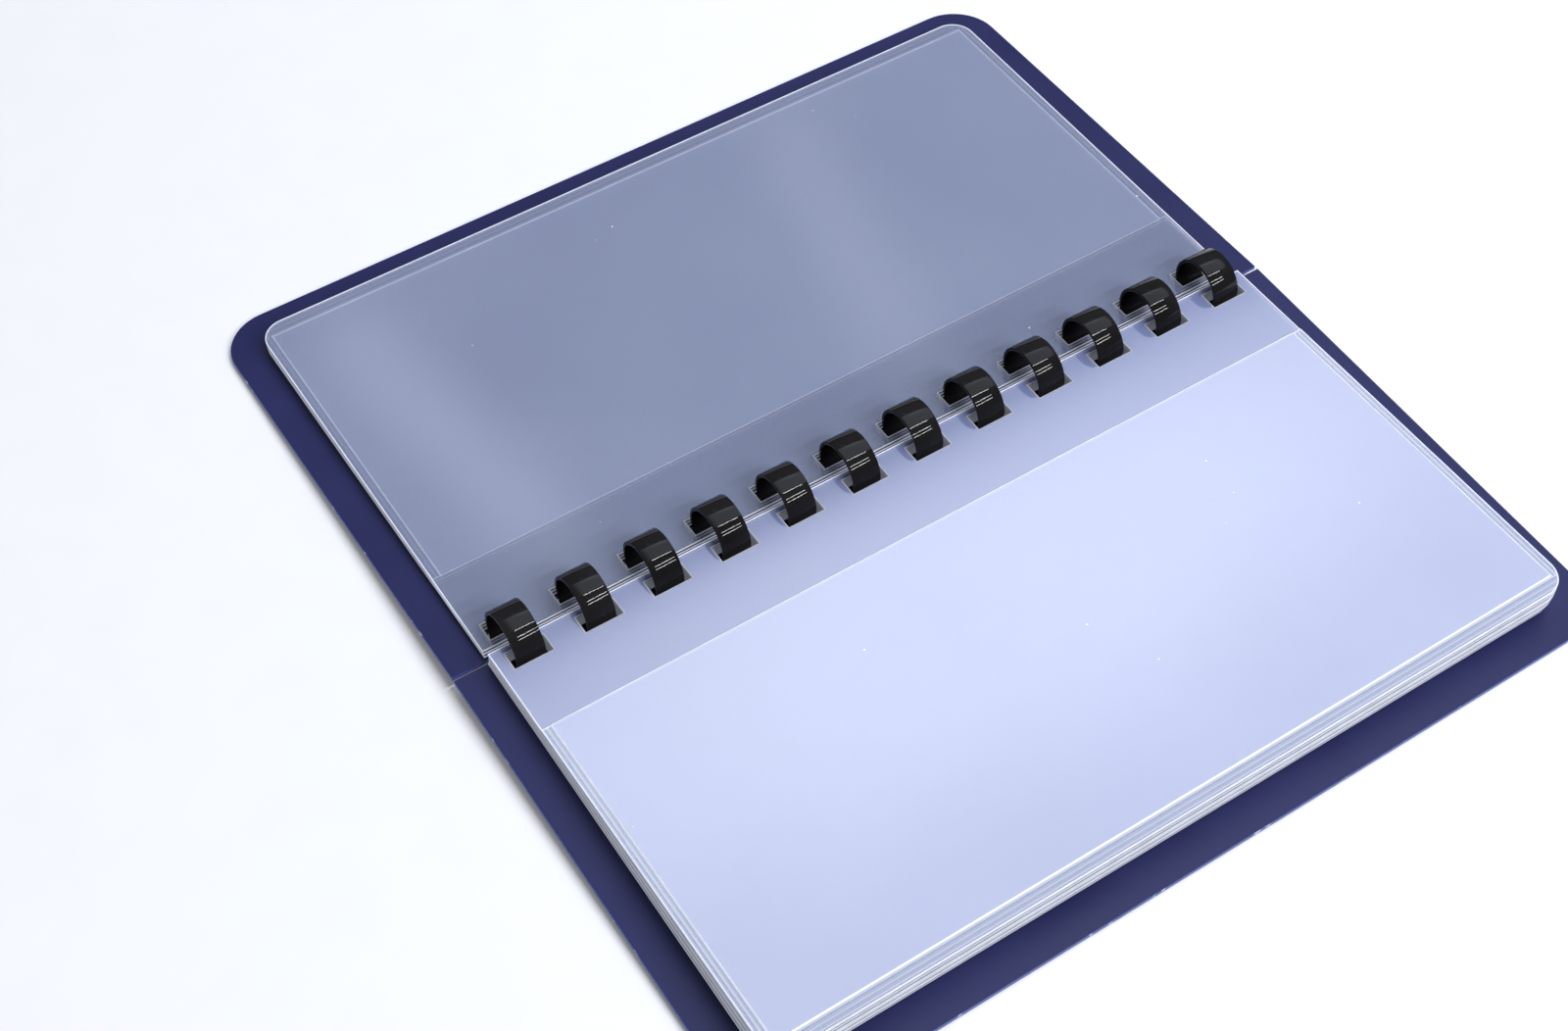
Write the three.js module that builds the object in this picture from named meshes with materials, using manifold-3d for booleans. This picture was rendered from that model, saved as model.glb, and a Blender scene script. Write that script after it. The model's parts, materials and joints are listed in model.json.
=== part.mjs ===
// Pocket album for banknotes, lying open on a table.
//
// Two plastic covers and ten clear pocket leaves are threaded on one plastic comb binding.
// Each leaf is a base film with slots for the comb, and a pocket film welded to it on three
// sides, so that a note slides in through the open mouth beside the comb.
//
// Millimetres, +Z up. X runs along the comb, and the origin is on the table under its middle.
// The back cover and its leaves lie towards -Y, the front cover and its leaves towards +Y.
import * as THREE from 'three';
import { mergeVertices } from 'three/addons/utils/BufferGeometryUtils.js';
import Module from 'manifold-3d';

// Leaves
const leafCount = 10;
const turnedLeafCount = 3; // lie on the front cover
const leafWidth = 170;
const leafDepth = 92.7;
const leafCorner = 5;
const filmThickness = 0.15;

// Pockets
const mouthFromSlots = 13.7;
const sideWeldWidth = 1.8;
const outerWeldWidth = 2.8;
const pocketRise = 0.14;
const weldGap = 0.05; // keeps the two films of a leaf apart as solids

// Covers
const coverThickness = 0.8;
const coverSideOverhang = 6.8;
const coverExtraDepth = 7.3;
const coverCorner = 10;
const spineEdgeGap = 0.9; // between the spine edges of the open covers

// Comb
const fingerPitch = 14.2875; // 9/16 inch
const fingerWidth = 5.9;
const fingerRootWidth = 6.9;
const fingerWall = 0.7;
const spineWall = 0.8;
const spineArc = THREE.MathUtils.degToRad(82);
const rootFlareArc = THREE.MathUtils.degToRad(25);
const rootSunkArc = THREE.MathUtils.degToRad(10);
const tuckArc = THREE.MathUtils.degToRad(24);
const tipArc = THREE.MathUtils.degToRad(20);
const tipNarrowing = 0.92; // of the half width, at the very end of a finger
const spineOverhang = 2;

// Clearances
const leafGap = 0.13; // between one leaf and the next, at the rings
const coverGap = 0.3; // between a cover and the leaf on it
const coverAboveSpine = 0.3; // between the comb's spine strip and a cover over it
const curlGap = 0.3; // between a tucked finger tip and the spine strip
const slotSideGap = 0.9; // beside a finger, in its slot
const slotRingGap = 0.2; // in front of and behind a finger, in its slot
const slotEndMargin = 2; // least film beyond the last slot of a row

// Smoothness
const curlSteps = 36;
const spineSteps = 9; // odd, so that the strip rests on a flat
const cornerSteps = 6;

// Sizes that follow from those above

const leafThickness = 2 * filmThickness + weldGap + pocketRise;
const leafPitch = leafThickness + leafGap;
const coverHeight = (coverThickness + coverGap + leafCount * leafPitch) / 2;

// The spine strip is the lowest arc of the ring, and the covers lie just above its edges.
const spineHalfArc = spineArc / 2;
const spineEdgeHeight = coverHeight + coverThickness / 2 + coverAboveSpine;
const spineRadius = spineEdgeHeight / Math.cos(spineHalfArc) + spineWall / 2;
const spineOuterRadius = spineRadius + spineWall / 2;
const axisHeight = spineOuterRadius * Math.cos(spineHalfArc / spineSteps);

// A finger leaves one edge of the strip, and curls over to end inside the other edge.
const openArc = 2 * Math.PI - spineArc;
const curlDrop = (spineWall + fingerWall) / 2 + curlGap;
const ringOuterRadius = spineRadius + fingerWall / 2 + slotRingGap;
const ringInnerRadius = spineRadius - curlDrop - fingerWall / 2 - slotRingGap;

// One punch makes every slot, and the covers, lowest on the rings, need the longest.
const slotWidth = fingerWidth + 2 * slotSideGap;
const coverSlotStart = chord(ringInnerRadius, coverHeight + coverThickness / 2);
const slotDepth = slotEnd(coverHeight, coverThickness) - coverSlotStart;
const slotMargin = coverSlotStart - spineEdgeGap / 2;
const slotRoom = leafWidth - slotWidth - 2 * slotEndMargin;
const fingerCount = Math.floor(slotRoom / fingerPitch) + 1;

const mouthInset = slotMargin + slotDepth + mouthFromSlots;
const coverWidth = leafWidth + 2 * coverSideOverhang;
const coverDepth = leafDepth + coverExtraDepth;
const spineLength = (fingerCount - 1) * fingerPitch + fingerRootWidth + 2 * spineOverhang;

// The covers slope down from the comb until their outer edges touch the table,
// and the leaves share the angle between the closed covers evenly.
const coverReach = spineEdgeGap / 2 + coverDepth;
const coverUnderside = coverHeight + coverThickness / 2;
const coverSlope =
  Math.asin(axisHeight / Math.hypot(coverUnderside, coverReach)) -
  Math.atan2(coverUnderside, coverReach);
const fanAngle = (2 * coverSlope) / (leafCount + 1);

// Distance from the ring's axis at which a circle of this radius passes a height.
function chord(radius, height) {
  return Math.sqrt(radius * radius - height * height);
}

// Where the slots of a sheet end, seen from the comb's axis, when the sheet is pushed in
// on the rings as far as they let it.
function slotEnd(height, thickness) {
  return chord(ringOuterRadius, Math.max(0, Math.abs(height) - thickness / 2));
}

const manifold = await Module();
manifold.setup();

function toSolid(geometry) {
  const bare = geometry.clone();
  bare.deleteAttribute('normal');
  bare.deleteAttribute('uv');
  const merged = mergeVertices(bare, 1e-5);
  const mesh = new manifold.Mesh({
    numProp: 3,
    vertProperties: new Float32Array(merged.attributes.position.array),
    triVerts: new Uint32Array(merged.index.array),
  });
  return new manifold.Manifold(mesh);
}

function toGeometry(solid) {
  const mesh = solid.getMesh();
  const geometry = new THREE.BufferGeometry();
  geometry.setAttribute('position', new THREE.BufferAttribute(mesh.vertProperties, 3));
  geometry.setIndex(new THREE.BufferAttribute(mesh.triVerts, 1));
  geometry.computeVertexNormals();
  return geometry;
}

// A flat plate of the given outline, from the height bottom up to bottom + thickness.
function plate(outline, thickness, bottom = 0) {
  const settings = { depth: thickness, bevelEnabled: false, curveSegments: cornerSteps };
  const geometry = new THREE.ExtrudeGeometry(outline, settings);
  geometry.translate(0, 0, bottom);
  return geometry;
}

// A sheet that runs from start to end, away from the comb towards -Y, with square corners
// at start and round ones at end.
function sheetOutline(width, start, end, corner) {
  const side = width / 2;
  const outline = new THREE.Shape();
  outline.moveTo(side, -start);
  outline.lineTo(-side, -start);
  outline.lineTo(-side, corner - end);
  outline.absarc(corner - side, corner - end, corner, Math.PI, 1.5 * Math.PI);
  outline.lineTo(side - corner, -end);
  outline.absarc(side - corner, corner - end, corner, 1.5 * Math.PI, 2 * Math.PI);
  outline.closePath();
  return outline;
}

function rectangle(left, right, low, high) {
  const outline = new THREE.Shape();
  outline.moveTo(left, low);
  outline.lineTo(right, low);
  outline.lineTo(right, high);
  outline.lineTo(left, high);
  outline.closePath();
  return outline;
}

// Middle of each finger and of its slot along the comb.
function fingerPlaces() {
  const first = (-(fingerCount - 1) / 2) * fingerPitch;
  return Array.from({ length: fingerCount }, (_, i) => first + i * fingerPitch);
}

// Cuts the row of slots along the spine edge of a sheet.
function punchSlots(sheet) {
  const slot = new THREE.BoxGeometry(slotWidth, slotDepth, 2);
  slot.translate(0, -slotMargin - slotDepth / 2, 0);
  const punch = toSolid(slot);
  return fingerPlaces().reduce((cut, x) => cut.subtract(punch.translate([x, 0, 0])), sheet);
}

// A cover: a plain sheet, with its spine edge on y = 0 and its middle plane on z = 0.
function coverGeometry() {
  const outline = sheetOutline(coverWidth, 0, coverDepth, coverCorner);
  const sheet = toSolid(plate(outline, coverThickness, -coverThickness / 2));
  return toGeometry(punchSlots(sheet));
}

// The lower film of a leaf, with the slots.
function baseFilmGeometry() {
  const outline = sheetOutline(leafWidth, 0, leafDepth, leafCorner);
  const sheet = toSolid(plate(outline, filmThickness, -filmThickness / 2));
  return toGeometry(punchSlots(sheet));
}

// The upper film of a leaf: flat where it is welded, and raised inside the weld, so that
// the pocket is open only at its mouth.
function pocketFilmGeometry() {
  const seat = filmThickness / 2 + weldGap;
  const top = pocketRise + filmThickness;
  const side = leafWidth / 2 - sideWeldWidth;
  const outer = outerWeldWidth - leafDepth;
  const pastMouth = 1 - mouthInset;
  const outline = sheetOutline(leafWidth, mouthInset, leafDepth, leafCorner);
  const raised = rectangle(-side, side, outer, -mouthInset);
  const wall = filmThickness;
  const hollow = rectangle(wall - side, side - wall, outer + wall, pastMouth);
  const welded = toSolid(plate(outline, filmThickness));
  const blister = toSolid(plate(raised, top));
  const inside = toSolid(plate(hollow, pocketRise + 1, -1));
  const film = welded.add(blister).subtract(inside);
  return toGeometry(film.translate([0, 0, seat]));
}

// Bends a flat strip of the comb's material round the X axis. The strip runs from one
// angle to another, counted from straight down towards +Y, and radius and width give its
// middle radius and its width at each angle.
function bentStrip(from, to, wall, steps, radius, width) {
  const geometry = new THREE.BoxGeometry(1, 1, wall, 1, steps, 1);
  const position = geometry.attributes.position;
  for (let i = 0; i < position.count; i += 1) {
    const angle = from + (position.getY(i) + 0.5) * (to - from);
    const distance = radius(angle) - position.getZ(i);
    const x = position.getX(i) * width(angle);
    position.setXYZ(i, x, distance * Math.sin(angle), -distance * Math.cos(angle));
  }
  return geometry;
}

// A finger's middle radius: a spiral that shrinks from one edge of the strip to the other.
function curlRadius(angle) {
  const past = Math.max(0, angle - spineHalfArc);
  return spineRadius - (curlDrop * past) / openArc;
}

// A finger is wider at its root, and round at its tip.
function curlWidth(angle) {
  const end = spineHalfArc + openArc + tuckArc;
  const flare = Math.max(0, 1 - Math.max(0, angle - spineHalfArc) / rootFlareArc);
  const round = Math.max(0, 1 - (end - angle) / tipArc) * tipNarrowing;
  const straight = fingerWidth + (fingerRootWidth - fingerWidth) * flare * flare;
  return straight * Math.sqrt(1 - round * round);
}

function fingerGeometry() {
  const root = spineHalfArc - rootSunkArc;
  const tip = spineHalfArc + openArc + tuckArc;
  return bentStrip(root, tip, fingerWall, curlSteps, curlRadius, curlWidth);
}

function spineGeometry() {
  const radius = () => spineRadius;
  const width = () => spineLength;
  return bentStrip(-spineHalfArc, spineHalfArc, spineWall, spineSteps, radius, width);
}

// The comb is one moulded piece, its spine strip with a row of curled fingers.
function combGeometry() {
  const finger = toSolid(fingerGeometry());
  const row = fingerPlaces().map((x) => finger.translate([x, 0, 0]));
  const comb = row.reduce((whole, next) => whole.add(next), toSolid(spineGeometry()));
  return toGeometry(comb);
}

function blackPlastic() {
  return new THREE.MeshStandardMaterial({ color: 0x0d0d10, roughness: 0.18, metalness: 0 });
}

function navyPlastic() {
  return new THREE.MeshStandardMaterial({ color: 0x26245f, roughness: 0.5, metalness: 0 });
}

function clearFilm() {
  return new THREE.MeshStandardMaterial({
    color: 0xd5dcf2,
    roughness: 0.12,
    metalness: 0,
    transparent: true,
    opacity: 0.35,
  });
}

const album = new THREE.Group();
const rings = new THREE.Group();
rings.position.z = axisHeight;
album.add(rings);

function piece(name, geometry, material) {
  const mesh = new THREE.Mesh(geometry, material);
  mesh.name = name;
  return mesh;
}

// Threads the pieces of one sheet on the rings. Sheets are counted from the back cover, 0,
// to the front cover, and height is that of the sheet in the closed album, above the axis.
// A turned sheet lies half a turn further round the axis, on the front cover's side.
function thread(pieces, order, height, thickness, turned) {
  const sheet = new THREE.Group();
  const outward = slotEnd(height, thickness) - slotDepth - slotMargin;
  const tilt = fanAngle * order - coverSlope;
  sheet.rotation.x = turned ? -tilt - Math.PI : -tilt;
  for (const mesh of pieces) {
    mesh.position.set(0, -outward, height);
    sheet.add(mesh);
  }
  rings.add(sheet);
}

function addCovers() {
  const shape = coverGeometry();
  const back = piece('back_cover', shape, navyPlastic());
  const front = piece('front_cover', shape, navyPlastic());
  thread([back], 0, -coverHeight, coverThickness, false);
  thread([front], leafCount + 1, coverHeight, coverThickness, true);
}

// Leaf 1 is the first behind the front cover, and the last lies on the back cover.
function addLeaves() {
  const base = baseFilmGeometry();
  const pocket = pocketFilmGeometry();
  const lowest = coverThickness / 2 - coverHeight + coverGap + filmThickness / 2;
  for (let leaf = 1; leaf <= leafCount; leaf += 1) {
    const order = leafCount + 1 - leaf;
    const height = lowest + (order - 1) * leafPitch;
    const name = `leaf_${String(leaf).padStart(2, '0')}`;
    const films = [
      piece(`${name}_base_film`, base, clearFilm()),
      piece(`${name}_pocket_film`, pocket, clearFilm()),
    ];
    thread(films, order, height, filmThickness, leaf <= turnedLeafCount);
  }
}

rings.add(piece('comb_binding', combGeometry(), blackPlastic()));
addCovers();
addLeaves();

export default album;
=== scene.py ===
"""Pocket album for banknotes, lying open: two navy covers, ten clear pocket leaves, one black comb.

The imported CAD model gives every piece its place. Each piece is modelled flat, as it is cut and
pressed, and is then laid on its CAD node or curled like it. Lengths are in metres.
"""

import json
import math

import bmesh
import bpy
from mathutils import Matrix, Vector

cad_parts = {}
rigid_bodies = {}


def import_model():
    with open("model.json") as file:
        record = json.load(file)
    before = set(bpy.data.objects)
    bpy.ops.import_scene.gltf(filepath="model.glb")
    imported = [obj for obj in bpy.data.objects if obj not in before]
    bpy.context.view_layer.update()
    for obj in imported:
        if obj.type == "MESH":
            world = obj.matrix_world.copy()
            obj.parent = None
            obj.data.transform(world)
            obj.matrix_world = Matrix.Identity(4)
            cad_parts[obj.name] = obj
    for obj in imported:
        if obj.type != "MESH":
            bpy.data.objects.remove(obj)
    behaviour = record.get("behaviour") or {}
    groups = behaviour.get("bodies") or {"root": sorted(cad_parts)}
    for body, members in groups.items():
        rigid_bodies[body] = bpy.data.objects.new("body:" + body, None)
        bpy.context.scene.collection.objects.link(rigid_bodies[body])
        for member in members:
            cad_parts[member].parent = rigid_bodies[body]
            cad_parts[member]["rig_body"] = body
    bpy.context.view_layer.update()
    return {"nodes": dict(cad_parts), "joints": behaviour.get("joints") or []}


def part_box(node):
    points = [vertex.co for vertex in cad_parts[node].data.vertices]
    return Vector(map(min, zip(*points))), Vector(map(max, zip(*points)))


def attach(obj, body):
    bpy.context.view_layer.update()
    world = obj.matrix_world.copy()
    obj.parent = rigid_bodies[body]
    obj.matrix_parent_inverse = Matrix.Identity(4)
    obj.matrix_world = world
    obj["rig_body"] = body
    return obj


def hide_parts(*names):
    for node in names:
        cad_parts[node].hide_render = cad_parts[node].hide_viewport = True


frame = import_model()

bl_info = {
    "name": "Banknote Album",
    "version": (1, 0, 0),
    "blender": (4, 5, 0),
    "location": "3D View > Sidebar > Album",
    "description": "Builds an open pocket album for banknotes around its CAD frame",
    "category": "Object",
}

MM = 0.001

# The album
LEAF_COUNT = 10
TURNED_LEAVES = 3  # lie on the front cover
FINGER_COUNT = 12
AXIS_HEIGHT = frame["joints"][0]["pos_m"][2]

# Meshes
SPINE_BAND = 1 * MM  # CAD points this close to a sheet's spine edge are on it
OUTER_BAND = 0.1 * MM
PUNCH_REACH = 1 * MM
SAME_PLACE = 1e-7  # closer points than this are one point
MERGE_DISTANCE = 1e-6
CURL_STEPS = 240  # of the curl's middle line
STRIP_STEPS = 20
FINGER_STEPS = 66
TIP_STEPS = 8
TIP_ROUNDING = 0.92  # at 1 the tip would end in a point
CORNER_STEPS = 12
EDGE_STEPS = 2
PANEL_COLUMNS = 4  # on each side of the middle
PANEL_ROWS = 6
SHARP_EDGE = math.radians(50)
SHARP_POCKET_EDGE = math.radians(60)
SMOOTH_COMB = math.radians(35)
SMOOTH_SHEET = math.radians(12)
FLAT = 0.99  # least share of a flat face's normal that points up or down
NEARLY_FLAT = 0.9  # the same, where the step beside a weld counts as flat
# The band slot carries a painted highlight along a sheet's cut edge, and the slot-edge slot painted
# shade round the slots.
FACE, HIGHLIGHT_BAND, CUT_EDGE, SLOT_EDGE = range(4)  # material slots of a cover or base film
WELDED = 3  # the last material slot of a pocket film, whose others are the same

# Colours and patterns
MIX_INPUTS, MIX_OUTPUT = (0, 6, 7), 2  # of a Mix node, for colours
SMEARED_BLACK = (0.014, 0.0135, 0.0145, 1)
SMEARED_NAVY = (0.015, 0.018, 0.1, 1)
SMEARED_FILM = 1.08  # times the film's own colour
SMEARED_EDGE = 0.85
SMEAR_RANGE = (0.35, 0.7)
COMB_DUST = (0.35, 0.35, 0.36, 1)
COVER_DUST = (0.3, 0.32, 0.42, 1)
FILM_DUST = (0.9, 0.9, 0.92, 1)
NICK = (0.45, 0.5, 0.75, 1)
# Painted shade: every other leaf's cut edge is dimmer, standing in for the dark gap between the
# leaves.
EDGE_SHADE_BRIGHTNESS = 0.4  # every other leaf's cut edge, so that each leaf of the pile shows
# Painted shade: the slot walls and their borders get the edge colour at this share.
SLOT_SHADE_BRIGHTNESS = 0.5
LINES_PER_METRE = 2100.0
LINE_RANGE = (0.4, 0.62)
FLECK = (0.8, 0.81, 0.84, 1)
FLECK_RANGE = (0.4, 0.7, 0.0, 0.25)

# The stage, in metres from the album's middle
FLOOR_SIZE = 8
FLOOR_DROP = 0.05 * MM
FLOOR_GLOW = (0.97, 0.98, 1.0, 1)
NEAR_GLOW, FAR_GLOW = 0.12, 0.85  # of the floor to the camera
FAR_REACH = (0.4, 1.5)
WORLD_COLOUR = (0.93, 0.95, 1.0, 1)
WORLD_LIT_SIDE = (0, 0.34, 0.94)
WORLD_REACH = (0.3, 0.8)
WORLD_LIGHT = (0.08, 0.29)
PANEL_COLOUR = (0.82, 0.88, 1.0, 1)
PANELS = (
    {
        "name": "softbox",
        "middle": (0.7, 0.25, 1.4),
        "size": (1.8, 1.4),
        "turn": 0,
        "fade": (0.3, 0.06),
        "strength": 1.75,
        "extra": 0.85,
    },
    {
        "name": "right_streak",
        "middle": (0.83, 1.22, 1.4),
        "size": (0.16, 0.5),
        "turn": -10.9,
        "fade": (0.08, 0.1),
        "strength": 0.45,
        "extra": 0,
    },
    {
        "name": "left_streak",
        "middle": (0.363, 1.22, 1.4),
        "size": (0.16, 0.5),
        "turn": 7.3,
        "fade": (0.08, 0.1),
        "strength": 0.8,
        "extra": 0,
    },
)
HOT_SPOT = {"Location": (0.03, -1.7, 0), "Scale": (1 / 0.7, 1 / 0.3, 1)}
HOT_SPOT_REACH = (0.95, 0.25)
TUBE_RISES = (70.5, 46.5, 35.3)
TUBE_AIM = (0.5, 0, 0)
TUBE_DISTANCE = 1.5
TUBE_SIZE = (1.0, 0.02)
TUBE_POWER = 7.2
SENSOR_WIDTH = 36  # millimetres, as Blender has it
CAMERA_AIM = (-21.3797 * MM, 1.0231 * MM, 0)


# Settings


def number(name, description, default, **kind):
    return bpy.props.FloatProperty(name=name, description=description, default=default, **kind)


def length(name, description, default):
    return number(name, description, default, min=0, subtype="DISTANCE", unit="LENGTH")


def angle(name, description, degrees):
    return number(name, description, math.radians(degrees), subtype="ANGLE", unit="ROTATION")


def share(name, description, default):
    return number(name, description, default, min=0, max=1, subtype="FACTOR")


def colour(name, description, default):
    return bpy.props.FloatVectorProperty(
        name=name, description=description, default=default, size=3, min=0, max=1, subtype="COLOR"
    )


class AlbumCombSettings(bpy.types.PropertyGroup):
    pitch: length("Finger pitch", "Distance from one finger to the next", 14.2875 * MM)
    finger_width: length("Finger width", "Width of a finger past its root", 5.9 * MM)
    root_width: length("Root width", "Width of a finger where it leaves the strip", 6.9 * MM)
    finger_wall: length("Finger wall", "Thickness of a finger", 0.7 * MM)
    spine_wall: length("Spine wall", "Thickness of the spine strip", 0.8 * MM)
    spine_radius: length("Spine radius", "Middle radius of the spine strip", 6.16381 * MM)
    curl_drop: length("Curl drop", "How much the radius shrinks over the curl", 1.05 * MM)
    spine_overhang: length("Overhang", "Strip beyond the root of the last finger", 2 * MM)
    edge_round: length("Edge rounding", "Radius of the moulded edges", 0.14 * MM)
    spine_arc: angle("Spine arc", "Arc that the strip covers", 82)
    flare_arc: angle("Root flare", "Arc over which a finger narrows from its root", 25)
    sunk_arc: angle("Sunk root", "Arc of the finger inside the strip", 10)
    tuck_arc: angle("Tuck", "Arc of the tip behind the strip's other edge", 24)
    tip_arc: angle("Tip", "Arc over which the tip is rounded", 20)
    black: colour("Plastic", "Colour of the moulded plastic", (0.0085, 0.008, 0.0085))


class AlbumCoverSettings(bpy.types.PropertyGroup):
    thickness: length("Thickness", "Thickness of a cover", 0.8 * MM)
    corner: length("Corner radius", "Radius of the two outer corners", 10 * MM)
    edge_round: length("Edge rounding", "Radius left by the die along the cut edge", 0.12 * MM)
    navy: colour("Sheet", "Colour of the cover sheet", (0.009, 0.012, 0.084))
    cut_edge: colour("Cut edge", "Paler colour of the cut edge", (0.06, 0.085, 0.33))


class AlbumLeafSettings(bpy.types.PropertyGroup):
    corner: length("Corner radius", "Radius of the two outer corners", 5 * MM)
    film: length("Film", "Thickness of each film", 0.15 * MM)
    weld_gap: length("Weld gap", "Gap between the two films at the weld", 0.05 * MM)
    rise: length("Pocket rise", "Height of the pocket's panel above its welded rim", 0.14 * MM)
    crown: length("Crown", "Extra height in the middle of the panel", 0.05 * MM)
    step: length("Step", "Width of the step beside the weld", 0.35 * MM)
    side_weld: length("Side weld", "Width of the weld along the short sides", 1.8 * MM)
    outer_weld: length("Outer weld", "Width of the weld along the outer edge", 2.8 * MM)
    mouth: length("Mouth", "Distance of the mouth from the leaf's spine edge", 19.1248 * MM)
    slot_width: length("Slot width", "Length of a slot along the comb", 7.7 * MM)
    slot_depth: length("Slot depth", "Size of a slot away from the comb", 3.77099 * MM)
    slot_margin: length("Slot margin", "Film between a slot and the spine edge", 1.65377 * MM)
    rim: length("Rim", "Rounding of a film's cut edge", 0.035 * MM)
    # Painted highlight: a band this wide of the flat film along each cut edge gets the bright edge
    # colour and glow.
    border: length("Bright border", "Width of the bright line along a film's cut edge", 0.22 * MM)
    # Painted light: base and pocket films are one clear film, and the four tints below are lighter
    # or darker copies of it that stand in for the whitish haze and reflection each pile, and the
    # panel or margin of a leaf, shows under the light.
    pocket_tint: colour(
        "Pocket", "Colour of the pocket films on the back cover", (0.41, 0.462, 0.735)
    )
    base_tint: colour("Base", "Colour of the base films on the back cover", (0.27, 0.32, 0.58))
    turned_pocket_tint: colour(
        "Turned pocket", "Colour of the pocket films on the front cover", (0.68, 0.75, 1.0)
    )
    turned_base_tint: colour(
        "Turned base", "Colour of the base films on the front cover", (0.31, 0.36, 0.55)
    )
    pocket_shine: number("Pocket shine", "Index of refraction of the pocket films", 3.0)
    base_shine: number("Base shine", "Index of refraction of the base films", 2.6)
    weld_tint: colour("Weld", "Colour of the welded rim of a pocket", (0.20, 0.245, 0.44))
    weld_line: colour("Weld line", "Colour of the lines pressed in the weld", (0.62, 0.66, 0.82))
    # Painted highlight: the near-white colour of a film's cut edge and of the band beside it.
    edge_tint: colour("Edge", "Colour of the bright cut edges", (0.80, 0.83, 0.93))
    # Painted glow: the film's cut edges and their band emit light, though the film is no lamp.
    edge_glow: share("Edge glow", "Light that a film gathers and lets out at its cut edge", 0.2)
    opacity: share("Opacity", "Share of the light that one surface stops", 0.6)
    turned_opacity: share("Turned opacity", "The same for the base films on the front cover", 0.35)


class AlbumStageSettings(bpy.types.PropertyGroup):
    floor: colour("Floor", "Colour of the floor", (0.86, 0.865, 0.88))
    distance: length("Camera distance", "From the camera to the point it looks at", 449.5537 * MM)
    azimuth: angle("Camera azimuth", "Turn of the camera round the album", -33.0839)
    elevation: angle("Camera elevation", "Angle of the camera above the table", 52.1451)
    lens: number("Focal length", "Focal length of the camera in millimetres", 55.0771, min=1)


class AlbumSettings(bpy.types.PropertyGroup):
    comb: bpy.props.PointerProperty(name="Comb", type=AlbumCombSettings)
    cover: bpy.props.PointerProperty(name="Covers", type=AlbumCoverSettings)
    leaf: bpy.props.PointerProperty(name="Leaves", type=AlbumLeafSettings)
    stage: bpy.props.PointerProperty(name="Stage", type=AlbumStageSettings)


def settings():
    return bpy.context.scene.album


# Modelling helpers


def pick(obj):
    """Selects obj alone and makes it active."""
    bpy.ops.object.select_all(action="DESELECT")
    obj.select_set(True)
    bpy.context.view_layer.objects.active = obj


def new_block(name, low, high):
    """A box between two corners, ready in edit mode."""
    low, high = Vector(low), Vector(high)
    bpy.ops.object.select_all(action="DESELECT")
    bpy.ops.mesh.primitive_cube_add(size=1, location=(low + high) / 2, scale=high - low)
    bpy.ops.object.transform_apply()
    return start_edit(name)


def new_panel(name, low, high):
    """A flat panel between two corners, ready in edit mode."""
    low, high = Vector(low), Vector(high)
    bpy.ops.object.select_all(action="DESELECT")
    bpy.ops.mesh.primitive_plane_add(size=1, location=(low + high) / 2)
    bpy.context.object.scale = (high.x - low.x, high.y - low.y, 1)
    bpy.ops.object.transform_apply()
    return start_edit(name)


def start_edit(name):
    obj = bpy.context.object
    obj.name = name
    obj.data.name = name
    bpy.ops.object.mode_set(mode="EDIT")
    return obj


def end_edit():
    bpy.ops.object.mode_set(mode="OBJECT")


def select(obj, kind, wanted):
    """Selects the verts, edges or faces of obj that pass a test."""
    bpy.ops.mesh.select_mode(type=kind[:4].upper())
    bpy.ops.mesh.select_all(action="DESELECT")
    mesh = bmesh.from_edit_mesh(obj.data)
    for element in getattr(mesh, kind):
        if wanted(element):
            element.select_set(True)
    mesh.select_flush_mode()
    bmesh.update_edit_mesh(obj.data)


def selected_verts(obj):
    return [vert for vert in bmesh.from_edit_mesh(obj.data).verts if vert.select]


def cut(places, axis):
    """Cuts the edited mesh across an axis at each place."""
    normal = Vector((0, 0, 0))
    normal[axis] = 1
    for place in places:
        bpy.ops.mesh.select_all(action="SELECT")
        bpy.ops.mesh.bisect(plane_co=normal * place, plane_no=normal, threshold=SAME_PLACE)


def modify(obj, kind, **values):
    """Adds a modifier to obj, sets it and applies it."""
    pick(obj)
    modifier = obj.modifiers.new(kind.lower(), kind)
    for name, value in values.items():
        setattr(modifier, name, value)
    bpy.ops.object.modifier_apply(modifier=modifier.name)


def copy_of(obj, name):
    """A copy of obj with its own mesh."""
    twin = obj.copy()
    twin.data = obj.data.copy()
    twin.name = name
    twin.data.name = name
    bpy.context.collection.objects.link(twin)
    return twin


def discard(*objects):
    for obj in objects:
        bpy.data.objects.remove(obj)


def tidy(obj):
    """Merges doubles and turns every face outwards."""
    pick(obj)
    bpy.ops.object.mode_set(mode="EDIT")
    bpy.ops.mesh.select_all(action="SELECT")
    bpy.ops.mesh.remove_doubles(threshold=MERGE_DISTANCE)
    bpy.ops.mesh.normals_make_consistent(inside=False)
    end_edit()


def smooth(obj, angle):
    pick(obj)
    bpy.ops.object.shade_smooth_by_angle(angle=angle)


def round_edges(obj, width, segments=EDGE_STEPS, sharp=SHARP_EDGE):
    """Rounds the edges of obj that are sharper than an angle."""
    modify(obj, "BEVEL", width=width, segments=segments, limit_method="ANGLE", angle_limit=sharp)


def finger_places():
    """Middle of each finger and slot along the comb."""
    pitch = settings().comb.pitch
    first = -(FINGER_COUNT - 1) / 2 * pitch
    return [first + i * pitch for i in range(FINGER_COUNT)]


# Shader helpers


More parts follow.
